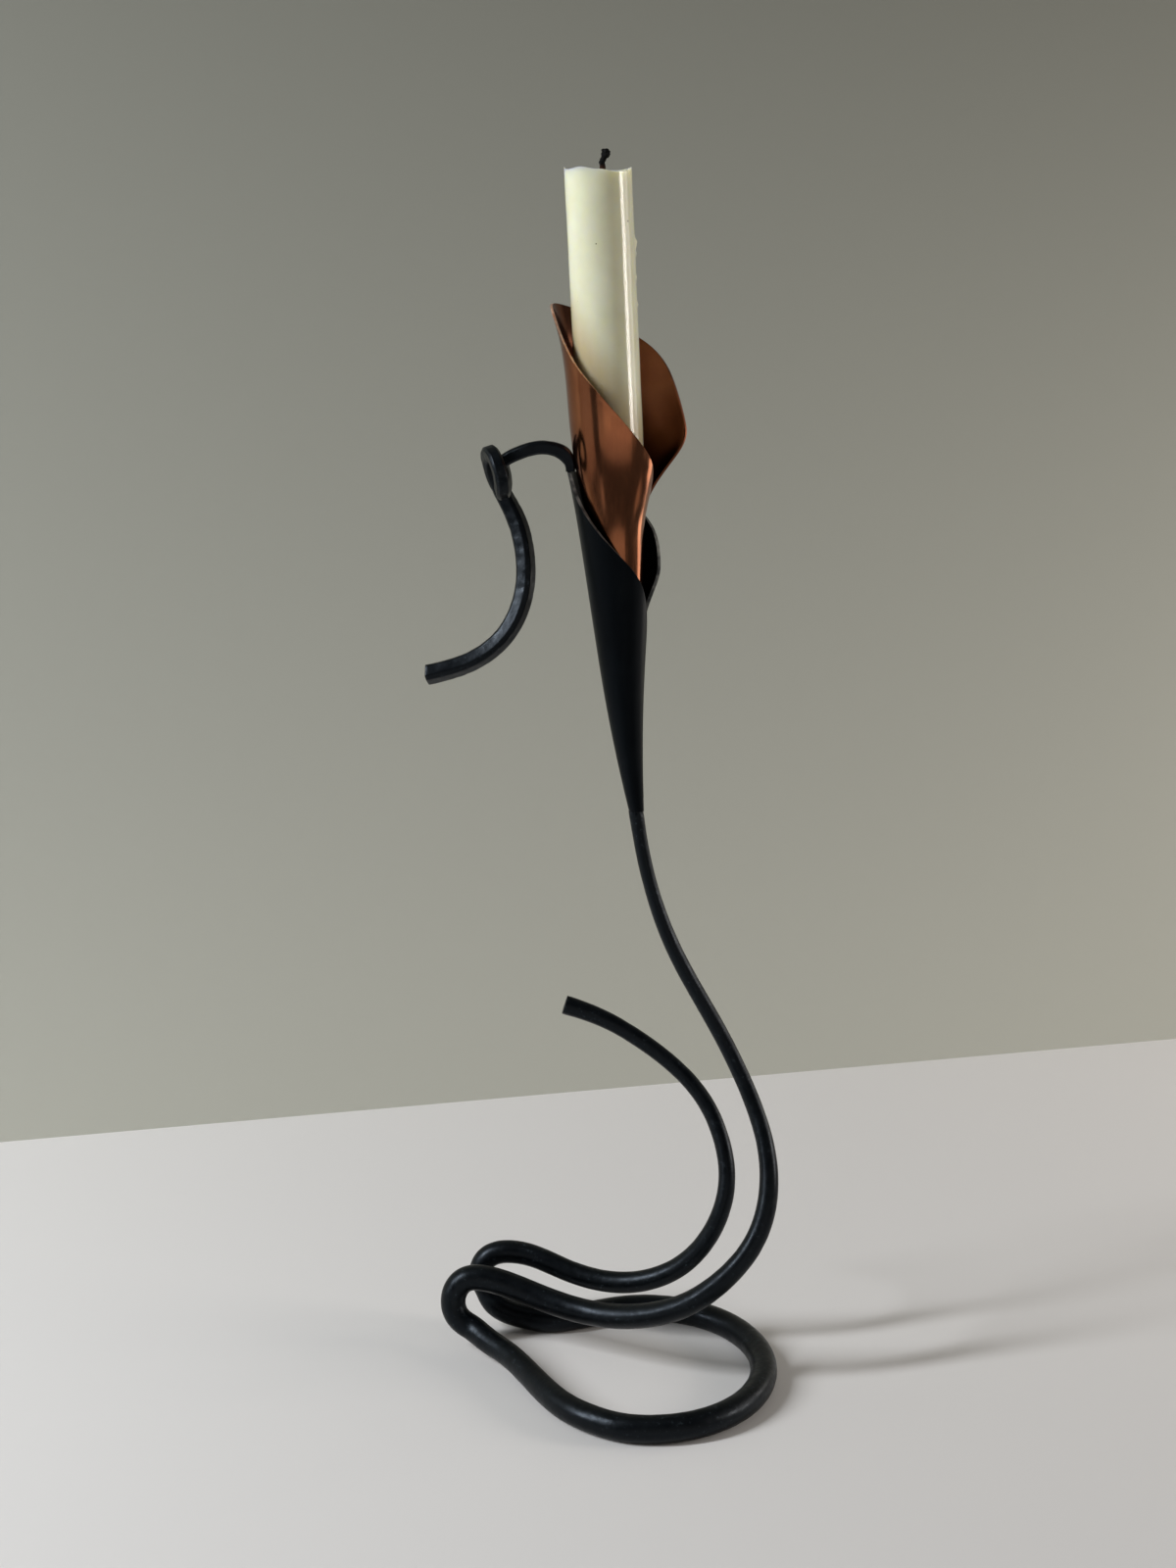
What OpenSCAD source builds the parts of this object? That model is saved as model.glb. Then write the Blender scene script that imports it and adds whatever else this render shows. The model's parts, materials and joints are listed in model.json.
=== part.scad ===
// Forged candle holder in the form of a calla lily.
// One tapered round bar lies on the table as an open ring, folds over itself in two hairpins
// and rises as a swan-neck stem and a shorter free arm.
// The stem carries a leaf of rolled steel with a curled tendril at its tip.
// A second leaf, of copper, is nested in it and grips the candle.
// Units are millimetres, +Z is up, and the origin is on the table under the middle of the object.

/* [Bar] */
// Thickness of the round bar where it lies on the table
bar_d = 9.6; // [7.5:0.1:12]
// Thickness of the stem where it meets the lily
throat_d = 4.6; // [3.5:0.1:5.4]
// Thinnest place of the free arm
arm_d = 5.4; // [4:0.1:7]
// Thickness of the free arm at its blunt end
arm_end_d = 6.6; // [5:0.1:8]
// Depth of the worn flat under the ring
foot_flat = 0.4; // [0.2:0.1:0.8]

/* [Ring on the table] */
// Width of the ring from left to right, along the middle of the bar
ring_w = 83; // [70:1:110]
// Length of the ring from front to back, along the middle of the bar
ring_l = 91; // [76:1:115]
// How far the middle of the hairpins lies beyond the left side of the ring
hairpin_reach = 20; // [16:0.5:26]
// Radius of the front hairpin, along the middle of the bar
front_hairpin_r = 8.9; // [8:0.1:11]
// Radius of the rear hairpin, along the middle of the bar
rear_hairpin_r = 9; // [8:0.1:11]

/* [Stem and arm] */
// Height of the throat, where the stem enters the lily
throat_z = 201; // [160:1:250]
// Height of the free end of the arm
arm_end_z = 124; // [100:1:150]
// Height of the lowest place of the stem where it crosses the ring
stem_low_z = 17.5; // [15:0.5:26]

/* [Lily] */
// How far the lily leans to the left
lean = 2.8; // [0:0.1:8]
// Length of the steel leaf from the throat to its tip
steel_l = 118.5; // [100:0.5:140]
// Radius of the steel leaf at the throat
steel_throat_r = 2.7; // [2.4:0.1:4]
// How far the tip of the steel leaf stands outside the candle
steel_mouth_gap = 3.7; // [3:0.1:9]
// How far the tip of the steel leaf turns outwards
steel_lip = 0.9; // [0:0.1:2]
// Thickness of the steel sheet
steel_sheet = 1.2; // [0.8:0.1:1.5]
// Length of the copper leaf above its seat in the steel leaf
copper_l = 128.5; // [110:1:150]
// Thickness of the copper sheet
copper_sheet = 0.8; // [0.5:0.1:1.2]
// How far the right side of the copper leaf opens outwards
copper_wing = 16.5; // [8:0.5:22]
// How far the front edge of the copper leaf turns outwards on the right
copper_lip = 1.8; // [0:0.1:3]
// How far the right side of the steel leaf opens outwards
steel_wing = 5.2; // [2:0.1:8]

/* [Candle] */
// Diameter of the candle
candle_d = 22; // [18:0.1:26.5]
// Length of the candle that is left
candle_l = 102; // [60:1:200]
// Diameter of the wick
wick_d = 2; // [1.4:0.1:3]
// Length of burnt wick that stands above the wax
wick_stub = 7; // [4:0.5:12]

/* [Tendril] */
// Width of the tendril bar, across the curl
tendril_w = 4.4; // [3:0.1:5.5]
// Thickness of the tendril bar
tendril_t = 3.7; // [2.5:0.1:4.5]
// Thickness of the tendril bar in its hanging tail
tail_t = 4.4; // [2.5:0.1:5]
// Radius of the curl, along the middle of the bar
curl_r = 6.8; // [5.5:0.1:9]

/* [Hidden] */

// Gap between the two laps of one rolled leaf
lap_gap = 0.3;
// Gap between the copper leaf and the steel leaf at its seat
seat_gap = 0.3;
// Gap between the candle and the copper where it is gripped
candle_gap = 0.3;
// Gap round the wick in the wax
wick_gap = 0.1;
// Play left at a butt weld between two pieces
weld_gap = 0.2;
// Sizes at which the routes below are drawn; other sizes stretch them
drawn_ring_w = 83;
drawn_ring_l = 91;
drawn_low_z = 17.5;
drawn_throat_z = 201;
drawn_arm_low_z = 20;
drawn_arm_end_z = 124;
// Sides of the swept round bar, and steps between two stations of its route
bar_sides = 14;
bar_steps = 3;
// Rows of facets from the foot of a leaf to its top, and steps between two stations of the rim
leaf_rows = 22;
leaf_steps = 3;
// The rows lie closer together towards the top, where the leaf flares: 1 would space them evenly
row_crowding = 1.4;

// Vectors and smooth curves

function unit(v) = v / norm(v);
function mix(a, b, t) = a + (b - a) * t;
function ease(t) = let (c = min(max(t, 0), 1)) c * c * (3 - 2 * c);
function xyz(p) = [p[0], p[1], p[2]];

// A station moved outwards a little, so that the smooth curve passes through it
function pulled(p, i) =
    (i <= 0 || i >= len(p) - 1) ? p[i] : p[i] + (2 * p[i] - p[i - 1] - p[i + 1]) / 6;

// Neighbour of a station, carried on straight past both ends
function near(p, i) =
    i < 0 ? 2 * p[0] - pulled(p, 1)
    : i > len(p) - 1 ? 2 * p[len(p) - 1] - pulled(p, len(p) - 2)
    : pulled(p, i);

// Point of the smooth curve at share t between station i and the next
function curve_at(p, i, t) =
    let (a = near(p, i - 1), b = near(p, i), c = near(p, i + 1), d = near(p, i + 2))
    (pow(1 - t, 3) * a + (3 * pow(t, 3) - 6 * t * t + 4) * b
        + (1 + 3 * t + 3 * t * t - 3 * pow(t, 3)) * c + pow(t, 3) * d) / 6;

// The whole smooth curve, with a number of steps from each station to the next
function curve(p, steps) = concat(
    [for (i = [0:len(p) - 2]) for (k = [0:steps - 1]) curve_at(p, i, k / steps)],
    [p[len(p) - 1]]);

// Directions along a path; the first and last may be given
function tangents(path, first, last) = [
    for (i = [0:len(path) - 1])
        i == 0 && norm(first) > 0 ? first
        : i == len(path) - 1 && norm(last) > 0 ? last
        : unit(xyz(path[min(i + 1, len(path) - 1)]) - xyz(path[max(i - 1, 0)]))];

// Side directions that turn with the path and never twist round it
function carried(side, t) = unit(side - (side * t) * t);
function sides_of(tan, start) = [
    for (i = 0, s = carried(start, tan[0]); i < len(tan);
        i = i + 1, s = i < len(tan) ? carried(s, tan[i]) : s) s];

// Faces of a tube with closed ends, from rings of n points
function tube_faces(rings, n) = concat(
    [for (j = [0:rings - 2]) for (i = [0:n - 1])
        [j * n + i, (j + 1) * n + i, j * n + (i + 1) % n]],
    [for (j = [0:rings - 2]) for (i = [0:n - 1])
        [j * n + (i + 1) % n, (j + 1) * n + i, (j + 1) * n + (i + 1) % n]],
    [[for (i = [0:n - 1]) i]],
    [[for (i = [n - 1:-1:0]) (rings - 1) * n + i]]);

// The forged bar

ring_z = bar_d / 2 - foot_flat;
ring_x = 21;
ring_y = -15.5;
ring_left = ring_x - ring_w / 2;
hairpin_x = ring_left - hairpin_reach;
front_hairpin = [hairpin_x, 10, ring_z + 4 + front_hairpin_r];
rear_hairpin = [hairpin_x + 9.2, 26, ring_z + 6.4 + rear_hairpin_r];
throat = [16.6, 10, throat_z];
// Angles at which the ring starts and ends, seen from above
ring_from = 262;
ring_to = 480;
ring_stations = 11;
// Shares of the bar thickness left at the two hairpins, drawn out by the bending
front_hairpin_share = 0.95;
rear_hairpin_share = 0.86;
// How far the lower leg of the front hairpin slants forwards
front_slant = 5;

// Station of the ring, with the thickness of the bar
function ring_at(k) =
    let (a = mix(ring_from, ring_to, k / (ring_stations - 1)))
    [ring_x + ring_w / 2 * cos(a), ring_y + ring_l / 2 * sin(a), ring_z, bar_d];

// A hairpin folds in an upright plane; its lower leg slants off towards the ring
function hairpin_at(middle, r, slant, a, d) =
    [middle[0] + r * cos(a), middle[1] - slant * pow((1 - sin(a)) / 2, 2), middle[2] + r * sin(a), d];

// Height of a stem station, stretched from the drawn stem to the height of the throat
function stem_z(z) = mix(stem_low_z, throat_z, (z - drawn_low_z) / (drawn_throat_z - drawn_low_z));
function arm_z(z) =
    mix(rear_hairpin[2], arm_end_z, (z - drawn_arm_low_z) / (drawn_arm_end_z - drawn_arm_low_z));
function stem_d(t) = mix(throat_d, bar_d, t);
function arm_taper(t) = mix(arm_d, bar_d, t);

// Place across the table, stretched with the width and the length of the ring
function spread(x) = ring_x + (x - ring_x) * ring_w / drawn_ring_w;
function deep(y) = ring_y + (y - ring_y) * ring_l / drawn_ring_l;

// Stem, from the throat of the lily down to the front hairpin: x, y, height, share of the taper
stem_route = [
    [21, 9.8, 177, 0],
    [30.5, 8.7, 150, 0.1],
    [44.4, 6, 126, 0.13],
    [55.7, -1.5, 104, 0.15],
    [62.2, -11, 86, 0.22],
    [62.7, -18.5, 70, 0.38],
    [58.1, -23, 55.3, 0.44],
    [48.2, -23.8, 42.2, 0.54],
    [34.7, -20, 29.7, 0.68],
    [19, -12.5, 21.8, 0.81],
    [2.5, -2.3, 17.5, 0.85],
    [-14, 5, 19, 0.88],
    [-28.6, 9, 23.4, 0.92]];

// Lower leg of the front hairpin, down to the ring: x, y, height above the ring and
// share of the bar thickness
front_leg = [
    [-36, -1.5, 2, 0.93],
    [-28, -10, 1.1, 0.9],
    [-19, -26, 0.2, 0.92],
    [-8.6, -45, 0, 0.98],
    [4.5, -56, 0, 1]];

// Lower leg of the rear hairpin
rear_leg = [
    [-12.7, 19.5, 0.1, 0.97],
    [-21, 21, 0.4, 0.97],
    [-29, 22.4, 1.7, 0.95],
    [-35.2, 23.8, 5, 0.93]];

// Free arm, from the rear hairpin to its blunt end: x, y, height, share of the taper
arm_route = [
    [-20, 25, 27.9, 0.58],
    [-7, 20.5, 23.5, 0.53],
    [8, 15.5, 21.7, 0.53],
    [22, 10.8, 24.8, 0.48],
    [34.6, 6.5, 33, 0.36],
    [43.6, 4, 45, 0.23],
    [49, 4.3, 59, 0.12],
    [49.6, 9, 73, 0.02],
    [44, 17.5, 88.5, 0],
    [34, 23.5, 100, 0],
    [21, 26.5, 110, 0.02],
    [6, 28.3, 119, 0.1]];

bar_stations = concat(
    [concat(throat, [stem_d(0.02)])],
    [for (p = stem_route) [spread(p[0]), deep(p[1]), stem_z(p[2]), stem_d(p[3])]],
    [for (a = [90, 135, 180, 222, 262])
        hairpin_at(front_hairpin, front_hairpin_r, front_slant, a, bar_d * front_hairpin_share)],
    [for (p = front_leg) [spread(p[0]), deep(p[1]), ring_z + p[2], bar_d * p[3]]],
    [for (k = [0:ring_stations - 1]) ring_at(k)],
    [for (p = rear_leg) [spread(p[0]), deep(p[1]), ring_z + p[2], bar_d * p[3]]],
    [for (a = [225, 180, 135, 90])
        hairpin_at(rear_hairpin, rear_hairpin_r, 0, a, bar_d * rear_hairpin_share)],
    [for (p = arm_route) [spread(p[0]), deep(p[1]), arm_z(p[2]), arm_taper(p[3])]],
    [[spread(-8.2), deep(29), arm_end_z, arm_end_d]]);

// Directions of the lily, which leans from the throat
lily_axis = [-sin(lean), 0, cos(lean)];
bar_path = curve(bar_stations, bar_steps);
bar_tangents = tangents(bar_path, -lily_axis, [0, 0, 0]);
bar_sides_at = sides_of(bar_tangents, [0, 1, 0]);

// Rings of points round the bar, cut level with the table underneath
bar_points = [
    for (i = [0:len(bar_path) - 1]) for (k = [0:bar_sides - 1])
        let (
            a = 360 * k / bar_sides,
            s = bar_sides_at[i],
            p = xyz(bar_path[i]) + bar_path[i][3] / 2 * (s * cos(a) + cross(bar_tangents[i], s) * sin(a)))
        [p[0], p[1], max(p[2], 0)]];

// Leaves rolled from sheet

// What a leaf is drawn from, in the order of its list.
// The rim is a list of angle and height from the rear edge round to the front edge, the corners are
// the two places in it where the top of the sheet begins and ends, and the profile is a list of
// height and radius.
RIM = 0;
CORNERS = 1;
FOOT_Z = 2;
FOOT_ANGLES = 3;
PROFILE = 4;
SHEET = 5;
WING = 6;
WING_Z = 7;
LIP = 8;
LIP_Z = 9;

// Below the rim both edges follow the seam, and reach the angle of the rim a bit before its end
seam_rate = 1.15;
// The wing opens between the rear edge and this angle, slowly at first
wing_angle = 100;
wing_power = 2.4;
// The lip turns outwards over these angles of the front edge
lip_from = 275;
lip_angle = 60;
// The laps touch the plain radius at this angle, in front
lap_middle = 270;

// Angle of an edge at a height: along the seam to the end of the rim, then along the rim to the corner
function edge_angle(leaf, part, foot_angle, z) =
    z > part[0][1] ? lookup(z, [for (p = part) [p[1], p[0]]])
    : mix(foot_angle, part[0][0], ease(seam_rate * (z - leaf[FOOT_Z]) / (part[0][1] - leaf[FOOT_Z])));
function rear_part(leaf) = [for (i = [0:leaf[CORNERS][0]]) leaf[RIM][i]];
function front_part(leaf) = [for (i = [len(leaf[RIM]) - 1:-1:leaf[CORNERS][1]]) leaf[RIM][i]];

// How far an edge strays at share t of its height from a straight line between its ends
function stray(leaf, part, foot_angle, t) =
    let (corner = part[len(part) - 1])
    edge_angle(leaf, part, foot_angle, mix(leaf[FOOT_Z], corner[1], t)) - mix(foot_angle, corner[0], t);

// The sheet between its foot, its two edges and its top: columns follow the edges and rows the top
function leaf_angle(leaf, top, share, strays, t) =
    mix(mix(leaf[FOOT_ANGLES][0], leaf[FOOT_ANGLES][1], share), top[0], t)
        + mix(strays[0], strays[1], share);

// The front edge lies outside the rear edge by one sheet and the lap gap
function lap(sheet, a) = (sheet + lap_gap) * (a - lap_middle) / 360;

// How far the wing and the lip stand out at an angle and a height
function rise(z, limits) = min(max((z - limits[0]) / (limits[1] - limits[0]), 0), 1);
function wing_at(leaf, a, z) =
    leaf[WING] * ease(pow(rise(z, leaf[WING_Z]), wing_power))
        * pow(max(wing_angle - a, 0) / wing_angle, 2);
function lip_at(leaf, a, z) = leaf[LIP] * ease((a - lip_from) / lip_angle) * ease(rise(z, leaf[LIP_Z]));

// Point on the outside of a leaf, in the frame of the lily, and the direction square to the sheet there
function skin(leaf, a, z) =
    let (r = lookup(z, leaf[PROFILE]) + lap(leaf[SHEET], a) + wing_at(leaf, a, z) + lip_at(leaf, a, z))
    [neck_shift(z) + r * cos(a), r * sin(a), z];
function skin_out(leaf, a, z) =
    unit(cross(skin(leaf, a + 1, z) - skin(leaf, a - 1, z), skin(leaf, a, z + 1) - skin(leaf, a, z - 1)));

// The foot of the lily bends a little towards the stem
neck = 2.7;
neck_l = 55;
function neck_shift(z) = neck * pow(max(1 - z / neck_l, 0), 2);

// Angle and height of every point of a leaf, row by row from its foot to its top
function leaf_grid(leaf) =
    let (
        from = leaf[CORNERS][0],
        wide = leaf[CORNERS][1] - from,
        rear = rear_part(leaf),
        front = front_part(leaf))
    [for (j = [0:leaf_rows])
        let (
            t = 1 - pow(1 - j / leaf_rows, row_crowding),
            strays = [
                stray(leaf, rear, leaf[FOOT_ANGLES][0], t),
                stray(leaf, front, leaf[FOOT_ANGLES][1], t)])
        [for (i = [0:wide])
            let (top = leaf[RIM][from + i])
            [leaf_angle(leaf, top, i / wide, strays, t), mix(leaf[FOOT_Z], top[1], t)]]];
function leaf_outside(leaf) = [for (row = leaf_grid(leaf)) for (p = row) skin(leaf, p[0], p[1])];
function leaf_inside(leaf) = [
    for (row = leaf_grid(leaf)) for (p = row)
        skin(leaf, p[0], p[1]) - leaf[SHEET] * skin_out(leaf, p[0], p[1])];

module leaf_shell(leaf) {
    m = leaf[CORNERS][1] - leaf[CORNERS][0] + 1;
    rows = leaf_rows + 1;
    n = rows * m;
    function quad(a, b, c, d) = [[a, b, c], [a, c, d]];
    faces = concat(
        [for (j = [0:rows - 2]) for (i = [0:m - 2]) let (o = j * m + i)
            for (f = quad(o, o + m, o + m + 1, o + 1)) f],
        [for (j = [0:rows - 2]) for (i = [0:m - 2]) let (o = n + j * m + i)
            for (f = quad(o, o + 1, o + m + 1, o + m)) f],
        [for (i = [0:m - 2]) for (f = quad(i, i + 1, n + i + 1, n + i)) f],
        [for (i = [0:m - 2]) let (o = (rows - 1) * m + i) for (f = quad(o, n + o, n + o + 1, o + 1)) f],
        [for (j = [0:rows - 2]) let (o = j * m) for (f = quad(o, n + o, n + o + m, o + m)) f],
        [for (j = [0:rows - 2]) let (o = j * m + m - 1) for (f = quad(o, o + m, n + o + m, n + o)) f]);
    polyhedron(concat(leaf_outside(leaf), leaf_inside(leaf)), faces, convexity = 10);
}

// Steel leaf, whose mouth is as wide as the candle and the copper round it need
steel_mouth_r = candle_d / 2 + steel_mouth_gap;
// The tip alone turns outwards: a high power keeps the rest of the cone straight
lip_power = 12;
// Half the angle that the tip takes, where the tendril is welded on
steel_tip_w = 9;
// Angle of the rim and share of the length there, from the rear edge round the back, tip and front
steel_rim = [
    [2, 0.56], [-1, 0.62], [1, 0.68], [5, 0.735], [13, 0.785], [28, 0.83], [55, 0.88], [85, 0.92],
    [115, 0.955], [145, 0.985], [180 - steel_tip_w, 1], [180 + steel_tip_w, 1], [198, 0.952],
    [209, 0.915], [222, 0.882], [241, 0.834], [268, 0.778], [292, 0.731], [312, 0.687], [330, 0.637],
    [343, 0.58], [350, 0.53]];
// Stations of the rim at which the top begins and ends
steel_corners = [5, 18];
function steel_r(z) = mix(steel_throat_r, steel_mouth_r, z / steel_l)
    + steel_lip * pow(max(z, 0) / steel_l, lip_power);
profile_steps = 24;
steel_profile = [
    for (k = [-1:profile_steps]) let (z = steel_l * k / profile_steps) [z, steel_r(z)]];
function cut_level(rim, top) = [for (p = rim) [p[0], min(p[1], top)]];
steel_leaf_shape = [
    cut_level(curve([for (p = steel_rim) [p[0], p[1] * steel_l]], leaf_steps), steel_l),
    steel_corners * leaf_steps,
    0,
    [-45, 345],
    steel_profile,
    steel_sheet,
    steel_wing,
    [0.42, 0.71] * steel_l,
    0,
    [0, 1]];

// Copper leaf: nested in the steel one, with its foot one seat gap inside the cone all round
seam_a = 350;
function seat_r(z) = steel_r(z) + lap(steel_sheet, seam_a - 360) - steel_sheet
    - seat_gap - lap(copper_sheet, seam_a);
// Heights above the throat of the foot of the copper, the top of its snug part and the candle's foot
copper_foot_z = 45;
copper_wrap_z = 60;
grip_z = 114;
// The foot of the candle is cut to a taper, which wedges it in the copper
candle_foot_h = 7;
candle_foot_cut = 1.1;
candle_foot_r = candle_d / 2 - candle_foot_cut;
function grip_r(candle_r) = candle_r + candle_gap + copper_sheet - lap(copper_sheet, 0);
copper_full_r = grip_r(candle_d / 2);
copper_top_z = copper_foot_z + copper_l;
copper_profile = curve([
    [copper_foot_z, seat_r(copper_foot_z)],
    [copper_wrap_z, seat_r(copper_wrap_z)],
    [76, mix(seat_r(copper_wrap_z), copper_full_r, 0.3)],
    [92, mix(seat_r(copper_wrap_z), copper_full_r, 0.46)],
    [102, mix(seat_r(copper_wrap_z), copper_full_r, 0.55)],
    [grip_z, grip_r(candle_foot_r)],
    [grip_z + candle_foot_h, copper_full_r],
    [grip_z + 18, copper_full_r + 1],
    [grip_z + 31, copper_full_r + 1.4],
    [grip_z + 42, copper_full_r + 2.1],
    [grip_z + 50, copper_full_r + 3.3],
    [copper_top_z, copper_full_r + 5.7]], 4);
copper_rim = [
    [0, 0.495], [3, 0.535], [6, 0.578], [8, 0.623], [11, 0.673], [17, 0.744], [25, 0.814], [37, 0.865],
    [55, 0.904], [80, 0.936], [110, 0.967], [140, 0.992], [165, 1], [179, 0.985], [187, 0.955],
    [196, 0.917], [210, 0.879], [224, 0.843], [240, 0.808], [266, 0.751], [292, 0.689], [317, 0.626],
    [340, 0.573], [354, 0.524]];
copper_corners = [6, 21];
copper_leaf_shape = [
    curve([for (p = copper_rim) [p[0], copper_foot_z + p[1] * copper_l]], leaf_steps),
    copper_corners * leaf_steps,
    copper_foot_z,
    [-30, seam_a],
    copper_profile,
    copper_sheet,
    copper_wing,
    [grip_z - 28, grip_z + 15],
    copper_lip,
    [grip_z - 20, grip_z + 6]];

// Everything of the lily stands on the throat and leans with it
function in_lily(p) =
    throat_foot + [p[0] * cos(lean) - p[2] * sin(lean), p[1], p[0] * sin(lean) + p[2] * cos(lean)];
throat_foot = throat - neck * [cos(lean), 0, sin(lean)];

module lily() {
    translate(throat_foot) rotate([0, -lean, 0]) children();
}

// The tendril

// Middle and axis of the curl, which is seen nearly on edge from the front
curl_middle = [-39, -5.5, steel_l + 1];
curl_axis = unit([-0.94, -0.28, -0.18]);
curl_up = unit([0, 0, 1] - (curl_axis * [0, 0, 1]) * curl_axis);
curl_back = cross(curl_axis, curl_up);
// Clear space between the turn of the curl and itself
curl_gap = 0.9;
curl_pitch = tendril_t + curl_gap;
curl_from = -20;
curl_to = 330;

// The turn of the curl steps sideways over these angles, to pass beside itself
step_from = 25;
step_angle = 120;

// Round the curl, angle 0 at the back, 90 at the foot, 180 at the front and 270 at the top
function curl_at(a) =
    curl_middle + curl_r * (curl_back * cos(a) - curl_up * sin(a))
        - curl_axis * curl_pitch * (1 - ease((a - curl_from - step_from) / step_angle));

// The root is a little thicker than the sheet that it grows from
tendril_root_t = steel_sheet + 0.7;
root_r = steel_r(steel_l) + lap(steel_sheet, 180) - tendril_root_t / 2;
root = [-root_r, 0, steel_l + weld_gap];
tendril_stations = concat(
    [root, root + [-0.1, 0, 2.5], root + [-1.7, 0, 5.4], root + [-5.5, 0, 7.6], root + [-10.5, 0.2, 8],
        root + [-15.3, 0.6, 6.9]],
    [for (a = [curl_from:35:curl_to]) curl_at(a)],
    [[-39.9, 4.8, 117], [-37.1, 6.9, 111], [-32.7, 5.4, 102], [-30.2, 3, 92], [-30.1, 1.4, 82.5],
        [-32.5, 0.4, 74], [-37.2, -0.4, 65.7], [-45, -0.8, 58.6], [-55, -0.6, 53.9], [-66.3, 0, 51.5]]);
tendril_steps = 2;
tendril_path = curve(tendril_stations, tendril_steps);
tendril_tangents = tangents(tendril_path, [0, 0, 1], [0, 0, 0]);
tendril_sides_at = sides_of(tendril_tangents, [0, 1, 0]);
tendril_end_w = 6;
// Turn of the bar round itself in the hanging tail
tail_turn = 30;
// Share of the length at which the tail begins, and over which it grows to its size
tail_from = 0.55;
tail_grow = 0.2;
// Rings over which the root thickens and the cut end flares
root_rings = 5;
flare_rings = 6;
// Share of the bar taken off its corners
corner = 0.16;

// 0 before the tail and 1 where it has its full size
function tail_share(k) = ease((k / (len(tendril_path) - 1) - tail_from) / tail_grow);

// Half width and half thickness along the tendril: thin at the root, flared at the cut end
function tendril_half(k) =
    let (n = len(tendril_path) - 1)
    [mix(tendril_w, tendril_end_w, ease((k - n + flare_rings) / flare_rings)) / 2,
        mix(mix(tendril_root_t, tendril_t, ease(k / root_rings)), tail_t, tail_share(k)) / 2];
tendril_section = [
    [1, 1 - corner * 2], [1 - corner * 2, 1], [corner * 2 - 1, 1], [-1, 1 - corner * 2],
    [-1, corner * 2 - 1], [corner * 2 - 1, -1], [1 - corner * 2, -1], [1, corner * 2 - 1]];
tendril_points = [
    for (k = [0:len(tendril_path) - 1]) for (q = tendril_section)
        let (
            turn = tail_turn * tail_share(k),
            s = tendril_sides_at[k],
            u = cross(tendril_tangents[k], s),
            h = tendril_half(k))
        in_lily(tendril_path[k] + (s * cos(turn) + u * sin(turn)) * q[0] * h[0]
            + (u * cos(turn) - s * sin(turn)) * q[1] * h[1])];

// The middle of the whole object across the table, which becomes the origin

outline = concat(
    bar_points,
    tendril_points,
    [for (p = leaf_outside(copper_leaf_shape)) in_lily(p)]);
function reach(axis) = [min([for (p = outline) p[axis]]), max([for (p = outline) p[axis]])];
middle_x = (reach(0)[0] + reach(0)[1]) / 2;
middle_y = (reach(1)[0] + reach(1)[1]) / 2;

module placed() {
    translate([-middle_x, -middle_y, 0]) children();
}

// One piece of round bar, forged to a taper at both ends and bent cold over a former
module forged_bar() {
    color("#1b2024")
    placed()
    polyhedron(bar_points, tube_faces(len(bar_path), bar_sides), convexity = 10);
}

// The outer leaf, rolled from sheet with its front edge lapped over its rear edge
module steel_leaf() {
    color("#1d2427")
    placed()
    lily()
    leaf_shell(steel_leaf_shape);
}

// The drawn-out tip of the steel leaf: arch, one turn of a curl and a hanging tail
module tendril() {
    color("#20262a")
    placed()
    polyhedron(
        tendril_points, tube_faces(len(tendril_path), len(tendril_section)), convexity = 10);
}

// The inner leaf, which holds the candle
module copper_leaf() {
    color("#b06a48")
    placed()
    lily()
    leaf_shell(copper_leaf_shape);
}

// The candle

candle_r = candle_d / 2;
// Width of the raised rim of wax, its rounding, and depth of the melted pool inside it
rim_w = 1.6;
rim_edge = 0.5;
pool_depth = 1.4;
pool_foot = 0.8;
wick_r = wick_d / 2;
wick_foot_h = 2;
// The wick stands a little to the right of the middle of the wax
wick_x = 1.6;
wick_bend = 20;
// Shares of the stub below the bend and above it, and swelling of the charred end
stub_below = 0.3;
stub_above = 0.6;
char_swelling = 1.25;
past = 1;

// Wax cylinder with a bevelled foot, a raised melted rim and a bore for the wick
module candle() {
    color("#e4e2cb")
    placed()
    lily()
    translate([0, 0, grip_z])
    difference() {
        rotate_extrude($fn = 64)
        polygon([
            [0, 0],
            [candle_foot_r, 0],
            [candle_r, candle_foot_h],
            [candle_r, candle_l - rim_edge],
            [candle_r - rim_edge, candle_l],
            [candle_r - rim_w, candle_l - rim_edge / 2],
            [candle_r - 2 * rim_w, candle_l - pool_depth * pool_foot],
            [0, candle_l - pool_depth]]);
        translate([wick_x, 0, wick_foot_h])
        cylinder(r = wick_r + wick_gap, h = candle_l + past, $fn = 24);
    }
}

// Cotton wick in its bore, with a bent and charred end that is thicker than the rest
module wick() {
    straight = candle_l - pool_depth + wick_stub * stub_below - wick_foot_h - wick_gap;
    burnt_l = wick_stub * stub_above;
    burnt_r = wick_r * char_swelling;
    color("#15130f")
    placed()
    lily()
    translate([wick_x, 0, grip_z + wick_foot_h + wick_gap]) {
        cylinder(r = wick_r, h = straight, $fn = 24);
        translate([0, 0, straight])
        sphere(r = wick_r, $fn = 24);
        translate([0, 0, straight])
        rotate([0, wick_bend, 0]) {
            cylinder(r1 = wick_r, r2 = burnt_r, h = burnt_l, $fn = 24);
            translate([0, 0, burnt_l])
            sphere(r = burnt_r, $fn = 24);
        }
    }
}

forged_bar();
steel_leaf();
tendril();
copper_leaf();
candle();
wick();
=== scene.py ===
import json
import math

import bmesh
import bpy
from mathutils import Matrix, Vector, noise


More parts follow.
